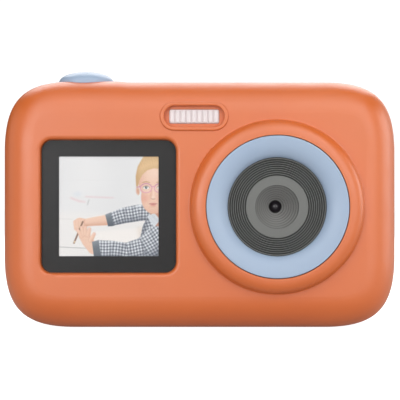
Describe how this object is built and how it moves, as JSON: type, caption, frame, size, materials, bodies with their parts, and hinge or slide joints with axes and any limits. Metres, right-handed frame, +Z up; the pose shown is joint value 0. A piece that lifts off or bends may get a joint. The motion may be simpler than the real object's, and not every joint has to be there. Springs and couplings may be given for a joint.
{
  "type": "compact action camera",
  "caption": "Compact children's action camera: rounded orange body with a raised round lens, a small screen beside it, a domed shutter button, a flash bar, a rear screen and keys.",
  "frame": {"origin": "on the base, on the axis of the tripod socket", "axes": "+X along the width, to the right as seen from the front; +Y from the front face to the rear face; +Z up"},
  "size_m": [0.1, 0.031, 0.0659],
  "materials": {
    "orange_shell": "soft satin, fine texture",
    "blue_plastic": "satin",
    "grey_disc": "satin, turned grooves",
    "black_plastic": "matte",
    "clear_pane": "polished",
    "window_border": "printed black",
    "lens_glass": "polished, coated",
    "inner_glass": "polished",
    "lcd_panel": "polarised glass over a backlight",
    "foam": "closed-cell foam",
    "white_plastic": "translucent white",
    "reflector": "metallised",
    "led": "phosphor yellow",
    "circuit_board": "solder mask green",
    "spring_steel": "drawn wire",
    "steel": "zinc plated",
    "brass_insert": "turned",
    "switch_black": "moulded",
    "battery_foil": "satin foil",
    "sensor_package": "satin",
    "rubber_seal": "soft",
    "light_pipe": "translucent",
    "keypad_white": "satin"
  },
  "bodies": {
    "camera": {"battery": "battery_foil", "board_screws": "steel", "card_slot": "steel", "carrier_screws": "steel", "case_screws": "steel", "flash_board": "circuit_board", "flash_leds": "led", "flash_lens": "white_plastic", "flash_reflector": "reflector", "front_lcd_frame": "black_plastic", "front_lcd_gasket": "foam", "front_lcd_panel": "lcd_panel", "front_shell": "orange_shell", "front_window": "clear_pane", "front_window_mask": "window_border", "image_sensor": "sensor_package", "ir_filter": "inner_glass", "key_board": "circuit_board", "key_board_screws": "steel", "key_switches": "switch_black", "lanyard_bar": "steel", "lens_barrel": "black_plastic", "lens_carrier": "black_plastic", "lens_face": "grey_disc", "lens_front_element": "lens_glass", "lens_rear_element": "inner_glass", "lens_ring": "blue_plastic", "main_board": "circuit_board", "microphone": "black_plastic", "port_door_pin": "steel", "processor_shield": "steel", "rear_lcd_frame": "black_plastic", "rear_lcd_gasket": "foam", "rear_lcd_panel": "lcd_panel", "rear_shell": "orange_shell", "rear_window": "clear_pane", "rear_window_mask": "window_border", "sensor_board": "circuit_board", "sensor_screws": "steel", "shutter_spring": "spring_steel", "speaker": "black_plastic", "status_light": "light_pipe", "top_board_screws": "steel", "top_key_board": "circuit_board", "top_switches": "switch_black", "tripod_insert": "brass_insert", "usb_c_port": "steel"},
    "shutter": {"shutter_button": "blue_plastic", "shutter_plunger": "switch_black"},
    "power": {"power_button": "blue_plastic", "power_plunger": "switch_black"},
    "door": {"port_door": "orange_shell", "port_door_seal": "rubber_seal"},
    "ok_key": {"ok_button": "blue_plastic"},
    "up_key": {"up_button": "keypad_white"},
    "down_key": {"down_button": "keypad_white"},
    "left_key": {"left_button": "keypad_white"},
    "right_key": {"right_button": "keypad_white"},
    "menu_key": {"menu_button": "keypad_white"},
    "playback_key": {"playback_button": "keypad_white"}
  },
  "joints": [
    {"name": "shutter_press", "type": "slide", "parent": "camera", "child": "shutter", "axis": [0, 0, -1], "range_m": [0, 0.0008], "stiffness_N_per_m": 900, "deforming": ["shutter_spring"]},
    {"name": "power_press", "type": "slide", "parent": "camera", "child": "power", "axis": [0, 0, -1], "range_m": [0, 0.0006], "stiffness_N_per_m": 900},
    {"name": "ok_press", "type": "slide", "parent": "camera", "child": "ok_key", "axis": [0, -1, 0], "range_m": [0, 0.0005], "stiffness_N_per_m": 800},
    {"name": "up_press", "type": "slide", "parent": "camera", "child": "up_key", "axis": [0, -1, 0], "range_m": [0, 0.0005], "stiffness_N_per_m": 800},
    {"name": "down_press", "type": "slide", "parent": "camera", "child": "down_key", "axis": [0, -1, 0], "range_m": [0, 0.0005], "stiffness_N_per_m": 800},
    {"name": "left_press", "type": "slide", "parent": "camera", "child": "left_key", "axis": [0, -1, 0], "range_m": [0, 0.0005], "stiffness_N_per_m": 800},
    {"name": "right_press", "type": "slide", "parent": "camera", "child": "right_key", "axis": [0, -1, 0], "range_m": [0, 0.0005], "stiffness_N_per_m": 800},
    {"name": "menu_press", "type": "slide", "parent": "camera", "child": "menu_key", "axis": [0, -1, 0], "range_m": [0, 0.0005], "stiffness_N_per_m": 800},
    {"name": "playback_press", "type": "slide", "parent": "camera", "child": "playback_key", "axis": [0, -1, 0], "range_m": [0, 0.0005], "stiffness_N_per_m": 800},
    {"name": "port_door_hinge", "type": "hinge", "parent": "camera", "child": "door", "pos_m": [0.04938, 0.0014, 0.01903], "axis": [0, 1, 0], "range_deg": [0, 95]}
  ]
}
